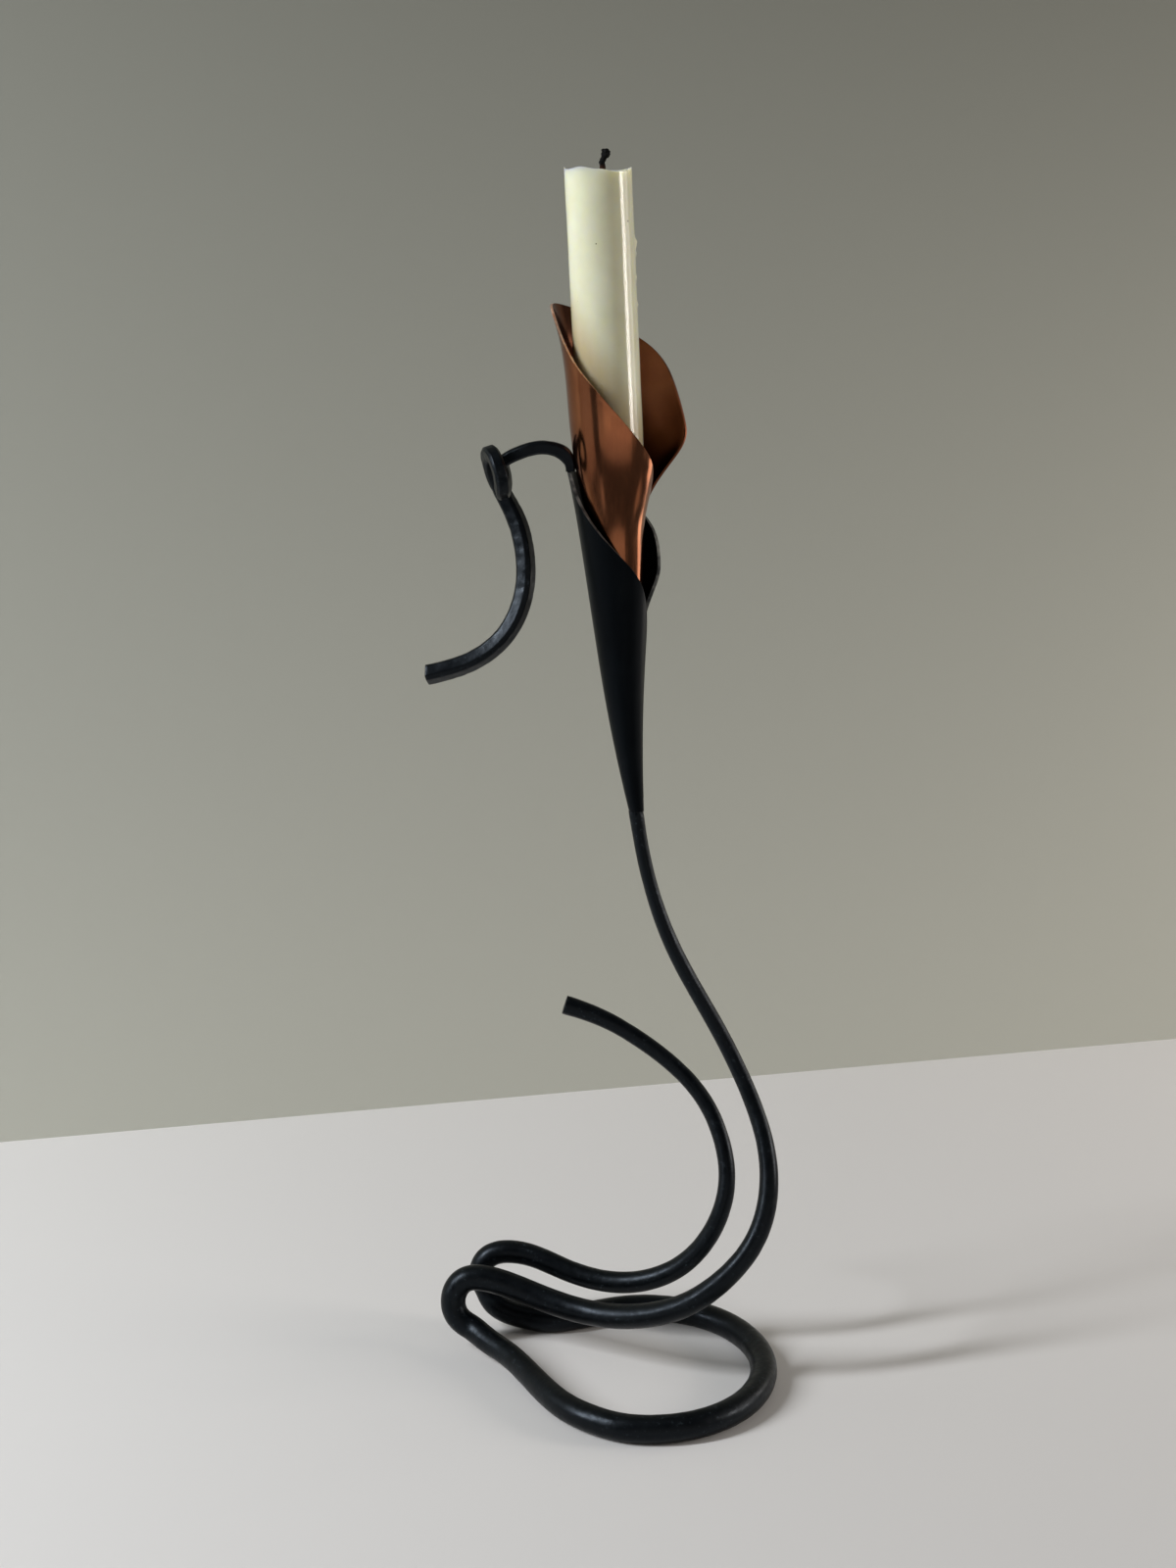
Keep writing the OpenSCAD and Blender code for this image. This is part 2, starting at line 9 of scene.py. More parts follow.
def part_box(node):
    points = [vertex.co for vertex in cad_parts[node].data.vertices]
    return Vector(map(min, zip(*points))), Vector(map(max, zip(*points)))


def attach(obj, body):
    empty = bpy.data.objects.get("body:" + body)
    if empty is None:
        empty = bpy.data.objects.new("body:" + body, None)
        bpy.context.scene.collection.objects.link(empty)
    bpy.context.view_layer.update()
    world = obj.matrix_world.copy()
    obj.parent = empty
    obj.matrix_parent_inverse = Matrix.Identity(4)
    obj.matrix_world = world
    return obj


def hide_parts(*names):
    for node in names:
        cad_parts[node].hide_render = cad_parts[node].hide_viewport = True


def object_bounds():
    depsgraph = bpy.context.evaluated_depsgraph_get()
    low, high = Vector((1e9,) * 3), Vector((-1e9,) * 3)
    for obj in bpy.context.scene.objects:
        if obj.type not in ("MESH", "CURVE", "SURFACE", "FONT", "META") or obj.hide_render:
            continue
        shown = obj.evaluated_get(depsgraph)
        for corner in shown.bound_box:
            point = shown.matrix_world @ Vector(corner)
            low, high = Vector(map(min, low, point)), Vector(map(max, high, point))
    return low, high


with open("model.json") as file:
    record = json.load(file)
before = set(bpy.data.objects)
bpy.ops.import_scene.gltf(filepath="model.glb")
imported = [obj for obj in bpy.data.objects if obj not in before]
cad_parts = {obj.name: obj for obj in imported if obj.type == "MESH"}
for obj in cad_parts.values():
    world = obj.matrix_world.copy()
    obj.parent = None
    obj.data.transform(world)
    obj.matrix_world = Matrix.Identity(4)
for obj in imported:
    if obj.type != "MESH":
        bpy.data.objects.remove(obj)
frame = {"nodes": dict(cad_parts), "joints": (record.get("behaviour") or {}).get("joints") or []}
cad_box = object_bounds()
MM = 0.001

# Forged bar
# One length of round mild steel, drawn hot to a taper at both ends, bent over a former into the ring,
# the two hairpins, the stem and the free arm, then blackened in oil and waxed.
BAR_DENT = 0.16 * MM          # depth of the hammer flats left in the bar
BAR_DENT_L = 6 * MM           # length from one flat to the next
BAR_GROWTH = [  # height above the table and what is given back there for the smoothing, all in mm
    (0, 0.11), (12, 0.11), (28, 0.28), (150, 0.28), (175, 0.2), (192, 0.2), (201, 0.34)]


def linear(code):
    """Linear colour with alpha from an sRGB hex code."""
    parts = [int(code[i:i + 2], 16) / 255 for i in (1, 3, 5)]
    return [c / 12.92 if c <= 0.04045 else ((c + 0.055) / 1.055) ** 2.4 for c in parts] + [1]


def material_named(name):
    """A new material with its principled shader, empty apart from the output."""
    material = bpy.data.materials.new(name)
    material.use_nodes = True
    return material, material.node_tree.nodes["Principled BSDF"]


def add(material, kind, inputs=None, stops=(), **settings):
    """Adds one node: settings are its properties, inputs its values or links, stops its colour ramp."""
    node = material.node_tree.nodes.new("ShaderNode" + kind)
    for name, value in settings.items():
        setattr(node, name, value)
    for name, value in (inputs or {}).items():
        if isinstance(value, bpy.types.NodeSocket):
            material.node_tree.links.new(value, node.inputs[name])
        else:
            node.inputs[name].default_value = value
    for i, (place, colour) in enumerate(stops):
        ramp = node.color_ramp.elements
        stop = ramp[i] if i < len(ramp) else ramp.new(place)
        stop.position = place
        stop.color = linear(colour) if isinstance(colour, str) else [colour] * 3 + [1]
    return node


def link(material, output, socket):
    material.node_tree.links.new(output, socket)


def only(piece):
    """Makes the piece the one that is selected and active."""
    bpy.ops.object.select_all(action="DESELECT")
    piece.select_set(True)
    bpy.context.view_layer.objects.active = piece


def copy_of(node, name):
    """A new piece from a copy of a CAD node's mesh, merged and turned into four-sided faces."""
    piece = bpy.data.objects.new(name, frame["nodes"][node].data.copy())
    bpy.context.scene.collection.objects.link(piece)
    piece.data.materials.clear()
    only(piece)
    bpy.ops.object.mode_set(mode="EDIT")
    bpy.ops.mesh.select_all(action="SELECT")
    bpy.ops.mesh.remove_doubles(threshold=0.005 * MM)
    bpy.ops.mesh.tris_convert_to_quads(
        face_threshold=math.radians(60), shape_threshold=math.radians(80))
    bpy.ops.object.mode_set(mode="OBJECT")
    return piece


def crease_sharp(piece, angle, amount):
    """Keeps the edges that turn more than an angle crisp when the piece is smoothed."""
    mesh = bmesh.new()
    mesh.from_mesh(piece.data)
    crease = mesh.edges.layers.float.get("crease_edge") or mesh.edges.layers.float.new("crease_edge")
    for edge in mesh.edges:
        if len(edge.link_faces) == 2 and edge.calc_face_angle() > math.radians(angle):
            edge[crease] = amount
    mesh.to_mesh(piece.data)
    mesh.free()


def smoothed(piece, levels):
    """Applies a subdivision surface to the piece."""
    only(piece)
    modifier = piece.modifiers.new("smooth", "SUBSURF")
    modifier.levels = levels
    modifier.render_levels = levels
    bpy.ops.object.modifier_apply(modifier=modifier.name)


def between(table, value):
    """Value read from a table of pairs, eased from one to the next."""
    if value <= table[0][0]:
        return table[0][1]
    for (a, u), (b, v) in zip(table, table[1:]):
        if a <= value <= b:
            t = (value - a) / (b - a)
            return u + (v - u) * t * t * (3 - 2 * t)
    return table[-1][1]


def hammered(piece, depth, length, growth=((0, 0),)):
    """Sinks the shallow hollows of a hammer into the surface and gives back what smoothing took off."""
    outwards = [vertex.normal.copy() for vertex in piece.data.vertices]
    for vertex, normal in zip(piece.data.vertices, outwards):
        p = vertex.co.copy()
        from_blow = noise.voronoi(p / length)[0][0]
        p += normal * (between(growth, p.z / MM) * MM + depth * (min(from_blow, 0.5) - 0.35))
        vertex.co = (max(p.x, cad_box[0][0]), p.y, max(p.z, 0))


def dress(piece, materials, body, node):
    """Shades the piece, gives it its materials, ties it to its CAD body and hides the CAD node it stands for.
    """
    only(piece)
    bpy.ops.object.shade_smooth_by_angle(angle=math.radians(38))
    for material in materials:
        piece.data.materials.append(material)
    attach(piece, body)
    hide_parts(node)


# Oil-blackened forged steel, waxed: near black with a cool satin sheen, slightly browner in patches,
# pitted by scale at about 0.8 mm and drawn out by the file along its flats.
forged_black, shader = material_named("oil_blackened_forged_steel")
place = add(forged_black, "TexCoord").outputs["Object"]
patches = add(forged_black, "TexNoise", {"Vector": place, "Scale": 60, "Detail": 4, "Roughness": 0.6})
tone = add(forged_black, "ValToRGB", {"Fac": patches.outputs["Fac"]},
           stops=[(0.3, "#010203"), (0.55, "#030507"), (0.75, "#06090b")])
# Grey flakes where the black has worn off the top of a bend, about half a millimetre across
wear = add(forged_black, "TexNoise", {"Vector": place, "Scale": 700, "Detail": 4, "Roughness": 0.7})
worn_through = add(forged_black, "MapRange", {"Value": wear.outputs["Fac"], "From Min": 0.6, "From Max": 0.66})
rough_spots = add(forged_black, "MapRange", {"Value": patches.outputs["Fac"], "From Min": 0.36,
                                             "From Max": 0.54})
scale_pits = add(forged_black, "TexNoise", {"Vector": place, "Scale": 900, "Detail": 3, "Roughness": 0.6})
flakes = add(forged_black, "TexVoronoi", {"Vector": place, "Scale": 420, "Smoothness": 0.3},
             feature="SMOOTH_F1")
relief = add(forged_black, "Math", {0: scale_pits.outputs["Fac"], 1: flakes.outputs["Distance"]},
             operation="ADD")
rough_relief = add(forged_black, "Math", {0: relief.outputs[0], 1: rough_spots.outputs["Result"]},
                   operation="MULTIPLY")
flaked = add(forged_black, "Math", {0: worn_through.outputs["Result"], 1: rough_spots.outputs["Result"]},
             operation="MULTIPLY")
shown = add(forged_black, "Mix", {0: flaked.outputs[0], 6: tone.outputs["Color"], 7: linear("#23292d")},
            data_type="RGBA")
bump = add(forged_black, "Bump", {"Height": rough_relief.outputs[0], "Strength": 0.35, "Distance": 0.13 * MM})
smears = add(forged_black, "TexNoise", {"Vector": place, "Scale": 240, "Detail": 3, "Roughness": 0.6})
gloss = add(forged_black, "MapRange", {"Value": smears.outputs["Fac"], "From Min": 0.38, "From Max": 0.62,
                                       "To Min": 0.31, "To Max": 0.42})
shader.inputs["IOR"].default_value = 1.3
shader.inputs["Specular Tint"].default_value = linear("#dcebfb")
link(forged_black, shown.outputs[2], shader.inputs["Base Color"])
link(forged_black, gloss.outputs["Result"], shader.inputs["Roughness"])
link(forged_black, bump.outputs["Normal"], shader.inputs["Normal"])

bar = copy_of("forged_bar", "bent_bar")
crease_sharp(bar, 60, 1)
smoothed(bar, 2)
hammered(bar, BAR_DENT, BAR_DENT_L, BAR_GROWTH)
dress(bar, [forged_black], "holder", "forged_bar")

# Outer leaf
# Sheet steel 1.2 mm thick, cut to a pointed blank, rolled cold into a cone with its front edge lapped
# over the rear one, blackened with the bar and rubbed with wax, so it is smoother than forged steel.
LEAF_DENT = 0.05 * MM
LEAF_DENT_L = 14 * MM

sheet_black, shader = material_named("oil_blackened_sheet_steel")
place = add(sheet_black, "TexCoord").outputs["Object"]
drawn = add(sheet_black, "Mapping", {"Vector": place, "Scale": (1, 1, 0.12)})
streaks = add(sheet_black, "TexNoise", {"Vector": drawn.outputs["Vector"], "Scale": 420, "Detail": 4,
                                        "Roughness": 0.6})
clouds = add(sheet_black, "TexNoise", {"Vector": place, "Scale": 55, "Detail": 3, "Roughness": 0.5})
tone = add(sheet_black, "ValToRGB", {"Fac": clouds.outputs["Fac"]},
           stops=[(0.3, "#010203"), (0.6, "#020406"), (0.8, "#05080a")])
# Bare specks where the black is rubbed through, a tenth of a millimetre wide and drawn at 0.4 mm to show
specks = add(sheet_black, "TexVoronoi", {"Vector": place, "Scale": 330, "Randomness": 1})
rare = add(sheet_black, "Math", {0: specks.outputs["Color"], 1: 0.985}, operation="GREATER_THAN")
spot = add(sheet_black, "Math", {0: specks.outputs["Distance"], 1: 0.16}, operation="LESS_THAN")
speck = add(sheet_black, "Math", {0: rare.outputs[0], 1: spot.outputs[0]}, operation="MULTIPLY")
worn = add(sheet_black, "Mix", {0: speck.outputs[0], 6: tone.outputs["Color"], 7: linear("#6d7479")},
           data_type="RGBA")
gloss = add(sheet_black, "MapRange", {"Value": streaks.outputs["Fac"], "From Min": 0.3, "From Max": 0.7,
                                      "To Min": 0.3, "To Max": 0.38})
bump = add(sheet_black, "Bump", {"Height": streaks.outputs["Fac"], "Strength": 0.2, "Distance": 0.03 * MM})
shader.inputs["IOR"].default_value = 1.21
shader.inputs["Specular Tint"].default_value = linear("#dcebfb")
link(sheet_black, worn.outputs[2], shader.inputs["Base Color"])
link(sheet_black, gloss.outputs["Result"], shader.inputs["Roughness"])
link(sheet_black, bump.outputs["Normal"], shader.inputs["Normal"])

# The cut edge of the sheet, where the wax and the black have rubbed thin and bare grey steel glints
rubbed_edge, shader = material_named("rubbed_edge_of_black_steel")
place = add(rubbed_edge, "TexCoord").outputs["Object"]
rubs = add(rubbed_edge, "TexNoise", {"Vector": place, "Scale": 260, "Detail": 3, "Roughness": 0.6})
tone = add(rubbed_edge, "ValToRGB", {"Fac": rubs.outputs["Fac"]},
           stops=[(0.35, "#26292a"), (0.5, "#565856"), (0.65, "#7f7f7a")])
shader.inputs["Metallic"].default_value = 0.3
shader.inputs["Roughness"].default_value = 0.5
link(rubbed_edge, tone.outputs["Color"], shader.inputs["Base Color"])


def mark_edge_and_inside(piece, node):
    """Gives a sheet's narrow cut edge, between two creases, material 1, and its inner side material 2."""
    low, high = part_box(node)
    axis = (low + high) / 2
    mesh = bmesh.new()
    mesh.from_mesh(piece.data)
    crease = mesh.edges.layers.float["crease_edge"]
    for face in mesh.faces:
        outward = face.calc_center_median() - axis
        outward.z = 0
        if sum(edge[crease] > 0 for edge in face.edges) >= 2:
            face.material_index = 1
        elif face.normal.dot(outward) < 0:
            face.material_index = 2
    mesh.to_mesh(piece.data)
    mesh.free()


outer_leaf = copy_of("steel_leaf", "outer_leaf")
crease_sharp(outer_leaf, 50, 0.95)
mark_edge_and_inside(outer_leaf, "steel_leaf")
smoothed(outer_leaf, 2)
hammered(outer_leaf, LEAF_DENT, LEAF_DENT_L)
dress(outer_leaf, [sheet_black, rubbed_edge, sheet_black], "holder", "steel_leaf")

# Tendril
# Square bar drawn out at the tip of the outer leaf and welded there, bent hot to an arch, one turn of a
# curl and a hanging tail; its flats and soft corners still show every hammer blow.
TENDRIL_DENT = 0.28 * MM
TENDRIL_DENT_L = 3.6 * MM
TENDRIL_GROWTH = [(250, 0.62), (300, 0.62), (312, 0.36), (330, 0.36)]   # height and growth all round, mm
TAIL_SWING = [(252, 0), (285, 0.9), (308, 0)]                          # height and swing to the left, mm
TAIL_X = -12 * MM
ROOT_SWELL = [  # height and swelling to the right, mm
    (317.5, 0), (319, 0.6), (322, 0.6), (324, 0.6), (326, 0.9), (328, 0.5), (330, 0)]
ROOT_X = -17 * MM

tendril = copy_of("tendril", "curled_tendril")
mesh = bmesh.new()
mesh.from_mesh(tendril.data)
mesh.normal_update()
steps = [vertex.normal * vertex.calc_shell_factor() * between(TENDRIL_GROWTH, vertex.co.z / MM) * MM
         for vertex in mesh.verts]
for vertex, step in zip(mesh.verts, steps):
    swing = between(TAIL_SWING, vertex.co.z / MM) * (vertex.co.x < TAIL_X)
    swell = between(ROOT_SWELL, vertex.co.z / MM) * (vertex.co.x > ROOT_X and vertex.normal.x > 0.3)
    vertex.co += step + Vector((swell - swing, 0, 0)) * MM
mesh.to_mesh(tendril.data)
mesh.free()
crease_sharp(tendril, 30, 0.95)
smoothed(tendril, 3)
hammered(tendril, TENDRIL_DENT, TENDRIL_DENT_L)
dress(tendril, [forged_black], "holder", "tendril")

# Inner leaf
# Copper sheet 0.8 mm thick, rolled like the outer leaf and seated in it. It was polished bright, has
# toned to a red brown since, and carries fine hairlines, rubbed patches and a cut edge painted bright on the
# left as a glint.
copper, shader = material_named("polished_copper_sheet_toned")
place = add(copper, "TexCoord").outputs["Object"]
clouds = add(copper, "TexNoise", {"Vector": place, "Scale": 38, "Detail": 4, "Roughness": 0.55,
                                  "Distortion": 0.4})
tone = add(copper, "ValToRGB", {"Fac": clouds.outputs["Fac"]},
           stops=[(0.3, "#87523a"), (0.5, "#975f41"), (0.72, "#a76e4e")])
drawn = add(copper, "Mapping", {"Vector": place, "Scale": (1, 1, 0.08)})
hairlines = add(copper, "TexNoise", {"Vector": drawn.outputs["Vector"], "Scale": 900, "Detail": 3,
                                     "Roughness": 0.6})
gloss = add(copper, "MapRange", {"Value": hairlines.outputs["Fac"], "From Min": 0.3, "From Max": 0.7,
                                 "To Min": 0.13, "To Max": 0.2})
bump = add(copper, "Bump", {"Height": hairlines.outputs["Fac"], "Strength": 0.1, "Distance": 0.004 * MM})
shader.inputs["Metallic"].default_value = 1
link(copper, tone.outputs["Color"], shader.inputs["Base Color"])
link(copper, gloss.outputs["Result"], shader.inputs["Roughness"])
link(copper, bump.outputs["Normal"], shader.inputs["Normal"])

# Painted shade: the inner side is a darker brown copy of the outer copper, standing in for its shade
inner_copper_painted_shade, shader = material_named("inner_copper_sheet_painted_shade")
place = add(inner_copper_painted_shade, "TexCoord").outputs["Object"]
clouds = add(inner_copper_painted_shade, "TexNoise", {"Vector": place, "Scale": 45, "Detail": 4, "Roughness": 0.55})
tone = add(inner_copper_painted_shade, "ValToRGB", {"Fac": clouds.outputs["Fac"]},
           stops=[(0.3, "#613a29"), (0.5, "#734631"), (0.72, "#83543c")])
drawn = add(inner_copper_painted_shade, "Mapping", {"Vector": place, "Scale": (1, 1, 0.08)})
hairlines = add(inner_copper_painted_shade, "TexNoise", {"Vector": drawn.outputs["Vector"], "Scale": 900, "Detail": 3,
                                            "Roughness": 0.6})
bump = add(inner_copper_painted_shade, "Bump", {"Height": hairlines.outputs["Fac"], "Strength": 0.1,
                                   "Distance": 0.004 * MM})
shader.inputs["Metallic"].default_value = 1
shader.inputs["Roughness"].default_value = 0.2
link(inner_copper_painted_shade, tone.outputs["Color"], shader.inputs["Base Color"])
link(inner_copper_painted_shade, bump.outputs["Normal"], shader.inputs["Normal"])

# The sheared edge of the copper: bare copper painted bright on the left as a glint, darker brown towards the
# wing on the right
bare_copper_edge_glint, shader = material_named("sheared_copper_edge_painted_glint")
place = add(bare_copper_edge_glint, "TexCoord").outputs["Object"]
nicks = add(bare_copper_edge_glint, "TexNoise", {"Vector": place, "Scale": 500, "Detail": 3, "Roughness": 0.6})
tone = add(bare_copper_edge_glint, "ValToRGB", {"Fac": nicks.outputs["Fac"]},
           stops=[(0.35, "#c98a6a"), (0.6, "#f6cdb0")])
spot = add(bare_copper_edge_glint, "SeparateXYZ", {"Vector": place})
dark_towards_right = add(bare_copper_edge_glint, "MapRange", {"Value": spot.outputs["X"], "From Min": -6 * MM, "From Max": 2 * MM})
shown = add(bare_copper_edge_glint, "Mix", {0: dark_towards_right.outputs["Result"], 6: tone.outputs["Color"],
                                 7: linear("#6b402c")}, data_type="RGBA")
shader.inputs["Metallic"].default_value = 1
shader.inputs["Roughness"].default_value = 0.42
link(bare_copper_edge_glint, shown.outputs[2], shader.inputs["Base Color"])

inner_leaf = copy_of("copper_leaf", "inner_leaf")
crease_sharp(inner_leaf, 50, 0.95)
mark_edge_and_inside(inner_leaf, "copper_leaf")
smoothed(inner_leaf, 2)
hammered(inner_leaf, LEAF_DENT, LEAF_DENT_L)
dress(inner_leaf, [copper, bare_copper_edge_glint, inner_copper_painted_shade], "holder", "copper_leaf")

# Candle
# Ivory stearin candle, moulded smooth, burnt down a third. The flame has left a thin uneven rim round a
# shallow pool, and a little wax has run over the right side and set there in beads.
RIM_W = 1.5 * MM
POOL = 2.2 * MM
SIDES = 128
ROWS = 80
SHADE_FOOT = 0.322            # heights of the painted shade on the slant: where it begins, is full and ends
SHADE_LOW = 0.344
SHADE_TOP = 0.366
BEADS = [  # angle round the candle from the front towards the right, depth below the rim, size, height
    (88, 24 * MM, 1.7 * MM, 0.75 * MM), (94, 27.5 * MM, 1.2 * MM, 0.45 * MM),
    (84, 35 * MM, 0.9 * MM, 0.3 * MM), (90, 44 * MM, 0.8 * MM, 0.35 * MM), (80, 12 * MM, 0.7 * MM, 0.25 * MM)]
RIM_HEIGHTS = [  # angle from the front towards the right, height of the rim against the candle's length
    (-180, -0.2), (-110, 0.3), (-92, 0.8), (-78, 0.1), (-60, -0.1), (-33, 0.4), (0, -0.7), (35, -1.8), (60, -1.6), (74, -0.5),
    (100, -0.2), (140, -0.8), (180, -0.2)]

lean = Vector(frame["joints"][0]["axis"]).normalized()
low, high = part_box("candle")
candle_r = (high.y - low.y) / 2
candle_l = ((high.z - low.z) - 2 * candle_r * abs(lean.x)) / lean.z
middle = (low + high) / 2
upright_to_lean = Matrix.Translation(middle) @ Vector((0, 0, 1)).rotation_difference(lean).to_matrix().to_4x4()


only(bar)
bpy.ops.object.select_all(action="DESELECT")
bpy.ops.mesh.primitive_cylinder_add(vertices=SIDES, radius=candle_r, depth=candle_l, location=(0, 0, 0))
candle = bpy.context.active_object
candle.name = "taper_candle"
bpy.ops.object.mode_set(mode="EDIT")
mesh = bmesh.from_edit_mesh(candle.data)
bpy.ops.mesh.select_all(action="DESELECT")
for edge in mesh.edges:
    edge.select = abs(edge.verts[0].co.z - edge.verts[1].co.z) > candle_l / 2
bmesh.update_edit_mesh(candle.data)
bpy.ops.mesh.subdivide(number_cuts=ROWS)
bpy.ops.mesh.select_mode(type="FACE")
bpy.ops.mesh.select_all(action="DESELECT")
mesh = bmesh.from_edit_mesh(candle.data)
for face in mesh.faces:
    face.select = face.normal.z > 0.9
bmesh.update_edit_mesh(candle.data)
for step in range(14):
    bpy.ops.mesh.inset(thickness=0.72 * MM if step > 1 else RIM_W / 3)
bpy.ops.mesh.poke()
bpy.ops.object.mode_set(mode="OBJECT")
candle.data.update()
for vertex in candle.data.vertices:
    p = vertex.co.copy()
    reach = math.hypot(p.x, p.y) / candle_r
    angle = math.degrees(math.atan2(p.x, -p.y))
    below = candle_l / 2 - p.z
    share = max(0, 1 - below / (12 * MM))
    sink = min(1, max(0, (1 - reach) * candle_r / (2.6 * MM)))
    rim = between(RIM_HEIGHTS, angle) * MM * (1 - sink)
    p.z += rim * share * share - (POOL * sink * sink * (3 - 2 * sink) if below < 1e-6 else 0)
    foot = max(0, 1 - (candle_l - below) / (7 * MM))
    swell = 0.12 * MM * noise.noise(Vector((p.x, p.y, p.z * 0.5)) / (9 * MM))
    for bead_angle, bead_below, size, height in BEADS:
        around = math.radians(angle - bead_angle) * candle_r
        along = (below - bead_below) * (0.6 if below > bead_below else 1)
        swell += height * math.exp(-(around ** 2 + along ** 2) / (size ** 2 / 2)) * (reach > 0.99)
    r = 1 - foot * 1.1 * MM / candle_r + (swell / candle_r if reach > 0.5 else 0)
    vertex.co = (p.x * r, p.y * r, p.z)
candle.data.transform(upright_to_lean)

# Stearin wax: the light sinks a few millimetres in and comes back warm, so its shade is soft and
# yellowish, with a smooth skin that still mirrors a window as one bright stripe.
wax, shader = material_named("moulded_ivory_stearin_wax")
place = add(wax, "TexCoord").outputs["Object"]
clouds = add(wax, "TexNoise", {"Vector": place, "Scale": 90, "Detail": 3, "Roughness": 0.5})
tone = add(wax, "ValToRGB", {"Fac": clouds.outputs["Fac"]}, stops=[(0.3, "#d6d6bb"), (0.7, "#dedfc8")])
# Painted shade: along the slanted rim of the copper the wax is darkened to a warm brown over some 9 mm, as the
# shade and warm cast the copper throws on it
spot = add(wax, "SeparateXYZ", {"Vector": place})
slant = add(wax, "Math", {0: spot.outputs["X"], 1: 1.6, 2: spot.outputs["Z"]}, operation="MULTIPLY_ADD")
shade_fade = add(wax, "MapRange", {"Value": slant.outputs[0], "From Min": SHADE_LOW, "From Max": SHADE_TOP,
                                "To Min": 0.8, "To Max": 0}, interpolation_type="SMOOTHSTEP")
shade_rise = add(wax, "MapRange", {"Value": slant.outputs[0], "From Min": SHADE_FOOT, "From Max": SHADE_LOW},
            interpolation_type="SMOOTHSTEP")
painted_shade_band = add(wax, "Math", {0: shade_fade.outputs["Result"], 1: shade_rise.outputs["Result"]}, operation="MULTIPLY")
shown = add(wax, "Mix", {0: painted_shade_band.outputs[0], 6: tone.outputs["Color"], 7: linear("#a5916a")},
            data_type="RGBA")
# A few specks of soot caught in the wax, 0.4 mm wide
soot = add(wax, "TexVoronoi", {"Vector": place, "Scale": 130, "Randomness": 1})
rare = add(wax, "Math", {0: soot.outputs["Color"], 1: 0.3}, operation="GREATER_THAN")
dot = add(wax, "Math", {0: soot.outputs["Distance"], 1: 0.045}, operation="LESS_THAN")
speck = add(wax, "Math", {0: rare.outputs[0], 1: dot.outputs[0]}, operation="MULTIPLY")
specked = add(wax, "Mix", {0: speck.outputs[0], 6: shown.outputs[2], 7: linear("#5d5644")}, data_type="RGBA")
skin = add(wax, "TexNoise", {"Vector": place, "Scale": 600, "Detail": 2, "Roughness": 0.5})
bump = add(wax, "Bump", {"Height": skin.outputs["Fac"], "Strength": 0.12, "Distance": 0.05 * MM})
shader.inputs["Roughness"].default_value = 0.11
shader.inputs["IOR"].default_value = 1.44
shader.inputs["Subsurface Weight"].default_value = 1
shader.inputs["Subsurface Radius"].default_value = (1, 0.85, 0.45)
shader.inputs["Subsurface Scale"].default_value = 6 * MM
link(wax, specked.outputs[2], shader.inputs["Base Color"])
link(wax, bump.outputs["Normal"], shader.inputs["Normal"])
dress(candle, [wax], "taper", "candle")

# Wick
# Plaited cotton cord 2 mm thick that runs the length of the candle. Its end is burnt black, bent over to
# the right by the draught and swollen to a crumbly head; at the wax it is only scorched brown.
low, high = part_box("wick")
wick_r = (high.y - low.y) / 2 / 1.25
STEPS = [  # rise, shift to the right and width against the cord's of each drawn-out step of the burnt end
    (0.8, -0.1, 1), (0.8, -0.1, 0.95), (0.8, 0.2, 1), (0.9, 0.5, 1.2), (0.8, 0.5, 1.4), (0.6, 0.3, 1.5),
    (0.6, 0, 1.45), (0.5, -0.2, 1.2), (0.35, -0.15, 0.8), (0.15, 0, 0.4)]
CRUMB = 0.42 * MM             # how far the crumbs stand out at the tip, kept below the top of the cord
stub_l = sum(step[0] for step in STEPS) * MM + 0.5 * CRUMB
wick_l = (high.z - low.z) / lean.z - stub_l
only(bar)
bpy.ops.object.select_all(action="DESELECT")
bpy.ops.mesh.primitive_cylinder_add(vertices=20, radius=wick_r, depth=wick_l, location=(0, 0, 0))
wick = bpy.context.active_object
wick.name = "burnt_wick"
bpy.ops.object.mode_set(mode="EDIT")
bpy.ops.mesh.select_mode(type="FACE")
bpy.ops.mesh.select_all(action="DESELECT")
mesh = bmesh.from_edit_mesh(wick.data)
for face in mesh.faces:
    face.select = face.normal.z > 0.9
bmesh.update_edit_mesh(wick.data)
width = 1
for rise, shift, next_width in STEPS:
    bpy.ops.mesh.extrude_region_move(TRANSFORM_OT_translate={"value": (shift * MM, 0, rise * MM)})
    bpy.ops.transform.resize(value=(next_width / width, next_width / width, 1))
    width = next_width
bpy.ops.object.mode_set(mode="OBJECT")
smoothed(wick, 2)
outwards = [vertex.normal.copy() for vertex in wick.data.vertices]
for vertex, normal in zip(wick.data.vertices, outwards):
    p = vertex.co.copy()
    burnt = min(1, max(0, (p.z - wick_l / 2) / (2 * MM)))
    crumb = noise.noise(p / (0.9 * MM)) + 0.5 * noise.noise(p / (0.4 * MM))
    vertex.co = p + normal * CRUMB * crumb * (0.2 + 0.8 * burnt)
lean_turn = Vector((0, 0, 1)).rotation_difference(lean).to_matrix().to_4x4()
wick.data.transform(Matrix.Translation((0, 0, wick_l / 2)))
wick.data.transform(lean_turn)
candle_foot = middle - lean * candle_l / 2
start = candle_foot + Vector((1.6 * MM * lean.z, 0, 1.6 * MM * -lean.x)) + lean * 2.1 * MM
wick.data.transform(Matrix.Translation(start))
for vertex in wick.data.vertices:
    vertex.co.z = min(vertex.co.z, high.z)

